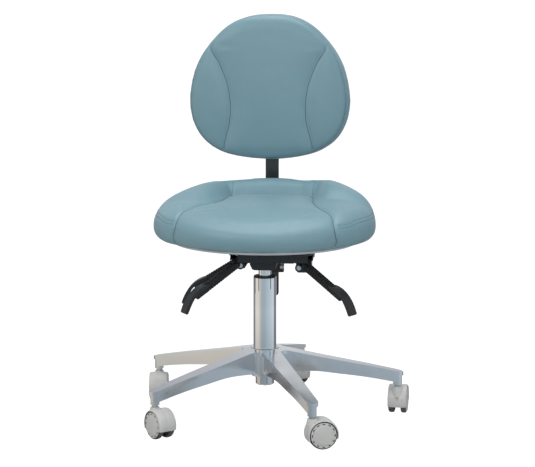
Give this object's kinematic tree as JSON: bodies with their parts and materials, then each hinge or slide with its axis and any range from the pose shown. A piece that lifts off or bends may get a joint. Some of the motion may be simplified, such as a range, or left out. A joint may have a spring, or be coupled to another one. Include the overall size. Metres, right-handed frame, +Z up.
{
  "type": "dentist stool",
  "caption": "Operator stool for a dental surgery: padded seat and backrest on a gas-lift column with a polished five-arm base on twin-wheel casters, worked by levers under the seat.",
  "frame": {"origin": "the point where the axis of the gas-lift column meets the floor", "axes": "+Z up along the column; the sitter faces -Y; +X is the side of the height lever"},
  "size_m": [0.5869, 0.6279, 0.8695],
  "materials": {
    "cast_alloy": "polished",
    "chrome": "polished",
    "steel": "satin",
    "black_plastic": "matte",
    "black_steel": "satin black powder coat",
    "boot_rubber": "matte",
    "upholstery": "smooth satin blue-grey polyurethane-coated fabric that looks like fine leather",
    "pan_plastic": "satin",
    "plywood": "raw",
    "caster_plastic": "satin",
    "wheel_plastic": "satin, darker soft tread"
  },
  "bodies": {
    "base": {"star_hub": "cast_alloy", "star_arms": "cast_alloy", "column_tube": "chrome", "column_bushing": "black_plastic", "thrust_bearing": "steel", "caster_stems": "steel", "stem_grip_rings": "steel"},
    "piston": {"piston_rod": "steel", "piston_head": "steel", "retaining_clip": "steel"},
    "mechanism": {"gas_cylinder": "chrome", "mechanism_housing": "black_steel", "seat_pivot_pin": "steel", "back_pivot_pin": "steel"},
    "valve": {"valve_button": "steel"},
    "height_lever": {"height_lever_shaft": "steel", "height_lever_handle": "black_steel", "height_lever_boot": "boot_rubber"},
    "seat_tilt_lever": {"seat_tilt_lever_shaft": "steel", "seat_tilt_lever_handle": "black_steel", "seat_tilt_lever_boot": "boot_rubber"},
    "backrest_lever": {"backrest_lever_shaft": "steel", "backrest_lever_handle": "black_steel", "backrest_lever_boot": "boot_rubber"},
    "seat": {"seat_plate": "black_steel", "seat_pan": "pan_plastic", "seat_board": "plywood", "seat_cushion": "upholstery", "seat_screws": "chrome"},
    "back_arm": {"back_bracket": "black_steel", "height_collar": "black_steel", "collar_bolts": "chrome"},
    "back_knob": {"back_knob": "black_plastic"},
    "backrest": {"upright_bar": "black_steel", "back_mount_plate": "black_steel", "back_screws": "chrome", "back_board": "plywood", "back_rear_cover": "upholstery", "back_cushion": "upholstery"},
    "caster_1": {"caster_1_hood": "caster_plastic", "caster_1_axle": "steel"},
    "caster_1_left": {"caster_1_wheel_left": "wheel_plastic"},
    "caster_1_right": {"caster_1_wheel_right": "wheel_plastic"},
    "caster_2": {"caster_2_hood": "caster_plastic", "caster_2_axle": "steel"},
    "caster_2_left": {"caster_2_wheel_left": "wheel_plastic"},
    "caster_2_right": {"caster_2_wheel_right": "wheel_plastic"},
    "caster_3": {"caster_3_hood": "caster_plastic", "caster_3_axle": "steel"},
    "caster_3_left": {"caster_3_wheel_left": "wheel_plastic"},
    "caster_3_right": {"caster_3_wheel_right": "wheel_plastic"},
    "caster_4": {"caster_4_hood": "caster_plastic", "caster_4_axle": "steel"},
    "caster_4_left": {"caster_4_wheel_left": "wheel_plastic"},
    "caster_4_right": {"caster_4_wheel_right": "wheel_plastic"},
    "caster_5": {"caster_5_hood": "caster_plastic", "caster_5_axle": "steel"},
    "caster_5_left": {"caster_5_wheel_left": "wheel_plastic"},
    "caster_5_right": {"caster_5_wheel_right": "wheel_plastic"}
  },
  "joints": [
    {"name": "seat_swivel", "type": "hinge", "parent": "base", "child": "piston", "pos_m": [0, 0, 0.08], "axis": [0, 0, 1], "continuous": true},
    {"name": "height_lift", "type": "slide", "parent": "piston", "child": "mechanism", "axis": [0, 0, 1], "range_m": [-0.012, 0.12]},
    {"name": "valve_press", "type": "slide", "parent": "mechanism", "child": "valve", "axis": [0, 0, -1], "range_m": [0, 0.0043], "stiffness_N_per_m": 2000},
    {"name": "height_lever_pull", "type": "hinge", "parent": "mechanism", "child": "height_lever", "pos_m": [0.076, 0, 0.335], "axis": [0, -1, 0], "range_deg": [0, 3.2]},
    {"name": "seat_tilt_lever_pull", "type": "hinge", "parent": "mechanism", "child": "seat_tilt_lever", "pos_m": [-0.05, 0, 0.339], "axis": [0, 1, 0], "range_deg": [0, 8]},
    {"name": "backrest_lever_pull", "type": "hinge", "parent": "mechanism", "child": "backrest_lever", "pos_m": [-0.05, 0, 0.339], "axis": [0, 1, 0], "range_deg": [0, 8]},
    {"name": "seat_tilt", "type": "hinge", "parent": "mechanism", "child": "seat", "pos_m": [0, 0.01, 0.356], "axis": [1, 0, 0], "range_deg": [-5, 6]},
    {"name": "backrest_tilt", "type": "hinge", "parent": "mechanism", "child": "back_arm", "pos_m": [0, 0.08, 0.342], "axis": [1, 0, 0], "range_deg": [-15, 5]},
    {"name": "backrest_height", "type": "slide", "parent": "back_arm", "child": "backrest", "axis": [0, 0, 1], "range_m": [-0.02, 0.055]},
    {"name": "back_knob_turn", "type": "hinge", "parent": "back_arm", "child": "back_knob", "pos_m": [0, 0.25, 0.296], "axis": [0, 1, 0], "range_deg": [0, 540]},
    {"name": "caster_1_swivel", "type": "hinge", "parent": "base", "child": "caster_1", "pos_m": [-0.21765, -0.19256, 0.05], "axis": [0, 0, 1], "continuous": true},
    {"name": "caster_1_left_roll", "type": "hinge", "parent": "caster_1", "child": "caster_1_left", "pos_m": [-0.20506, -0.2081, 0.03], "axis": [0.7771, 0.6293, 0], "continuous": true},
    {"name": "caster_1_right_roll", "type": "hinge", "parent": "caster_1", "child": "caster_1_right", "pos_m": [-0.20506, -0.2081, 0.03], "axis": [0.7771, 0.6293, 0], "continuous": true},
    {"name": "caster_2_swivel", "type": "hinge", "parent": "base", "child": "caster_2", "pos_m": [0.11588, -0.2665, 0.05], "axis": [0, 0, 1], "continuous": true},
    {"name": "caster_2_left_roll", "type": "hinge", "parent": "caster_2", "child": "caster_2_left", "pos_m": [0.135, -0.26065, 0.03], "axis": [-0.2924, 0.9563, 0], "continuous": true},
    {"name": "caster_2_right_roll", "type": "hinge", "parent": "caster_2", "child": "caster_2_right", "pos_m": [0.135, -0.26065, 0.03], "axis": [-0.2924, 0.9563, 0], "continuous": true},
    {"name": "caster_3_swivel", "type": "hinge", "parent": "base", "child": "caster_3", "pos_m": [0.28926, 0.02785, 0.05], "axis": [0, 0, 1], "continuous": true},
    {"name": "caster_3_left_roll", "type": "hinge", "parent": "caster_3", "child": "caster_3_left", "pos_m": [0.29135, 0.04774, 0.03], "axis": [-0.9945, 0.1045, 0], "continuous": true},
    {"name": "caster_3_right_roll", "type": "hinge", "parent": "caster_3", "child": "caster_3_right", "pos_m": [0.29135, 0.04774, 0.03], "axis": [-0.9945, 0.1045, 0], "continuous": true},
    {"name": "caster_4_swivel", "type": "hinge", "parent": "base", "child": "caster_4", "pos_m": [0.0629, 0.28371, 0.05], "axis": [0, 0, 1], "continuous": true},
    {"name": "caster_4_left_roll", "type": "hinge", "parent": "caster_4", "child": "caster_4_left", "pos_m": [0.05031, 0.29925, 0.03], "axis": [-0.7771, -0.6293, 0], "continuous": true},
    {"name": "caster_4_right_roll", "type": "hinge", "parent": "caster_4", "child": "caster_4_right", "pos_m": [0.05031, 0.29925, 0.03], "axis": [-0.7771, -0.6293, 0], "continuous": true},
    {"name": "caster_5_swivel", "type": "hinge", "parent": "base", "child": "caster_5", "pos_m": [-0.25039, 0.14749, 0.05], "axis": [0, 0, 1], "continuous": true},
    {"name": "caster_5_left_roll", "type": "hinge", "parent": "caster_5", "child": "caster_5_left", "pos_m": [-0.24934, 0.12752, 0.03], "axis": [0.9986, 0.0523, 0], "continuous": true},
    {"name": "caster_5_right_roll", "type": "hinge", "parent": "caster_5", "child": "caster_5_right", "pos_m": [-0.24934, 0.12752, 0.03], "axis": [0.9986, 0.0523, 0], "continuous": true}
  ],
  "couplings": [
    {"joint": "valve_press", "follows": "height_lever_pull", "m_per_rad": 0.076}
  ]
}
